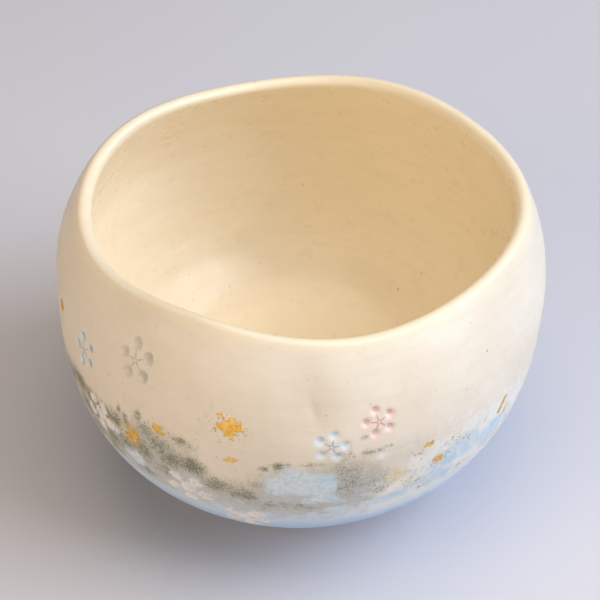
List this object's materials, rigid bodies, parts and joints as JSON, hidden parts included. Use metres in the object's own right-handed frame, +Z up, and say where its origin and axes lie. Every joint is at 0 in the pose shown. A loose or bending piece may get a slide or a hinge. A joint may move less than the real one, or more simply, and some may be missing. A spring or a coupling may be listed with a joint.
{
  "type": "raku tea bowl",
  "caption": "Hand-formed round tea bowl with an undulating lip on a low foot ring, cream glaze with a blue haze, stamped blossoms and gold leaf flakes.",
  "frame": {"origin": "middle of the foot ring's resting face", "axes": "+Z up through the bowl's mouth; -Y is the decorated front that the picture shows, +X its right"},
  "size_m": [0.1188, 0.1213, 0.0837],
  "materials": {
    "raku_clay": "unglazed, fine toothy",
    "cream_glaze": "satin gloss",
    "blue_glaze": "satin gloss, speckled haze",
    "pink_slip": "satin",
    "blue_slip": "satin",
    "grey_slip": "satin",
    "white_slip": "satin",
    "gold_leaf": "matt gold leaf"
  },
  "bodies": {
    "root": {"blossom_front_pink": "pink_slip", "blossom_front_blue": "blue_slip", "blossom_left_grey": "grey_slip", "blossom_left_blue": "blue_slip", "blossom_left_white": "white_slip", "blossom_low_white": "white_slip", "blossom_low_cream": "white_slip", "blossom_back_pink": "pink_slip", "blossom_back_blue": "blue_slip", "blossom_back_white": "white_slip", "clay_body": "raku_clay", "foot_ring": "raku_clay", "cream_glaze": "cream_glaze", "blue_glaze": "blue_glaze", "gold_leaf_front": "gold_leaf", "gold_leaf_front_small": "gold_leaf", "gold_leaf_left_large": "gold_leaf", "gold_leaf_left_small": "gold_leaf", "gold_leaf_far_left": "gold_leaf", "gold_leaf_right_strip": "gold_leaf", "gold_leaf_right_large": "gold_leaf", "gold_leaf_right_small": "gold_leaf", "gold_leaf_back": "gold_leaf", "gold_leaf_back_small": "gold_leaf", "gold_leaf_back_strip": "gold_leaf"}
  },
  "joints": []
}
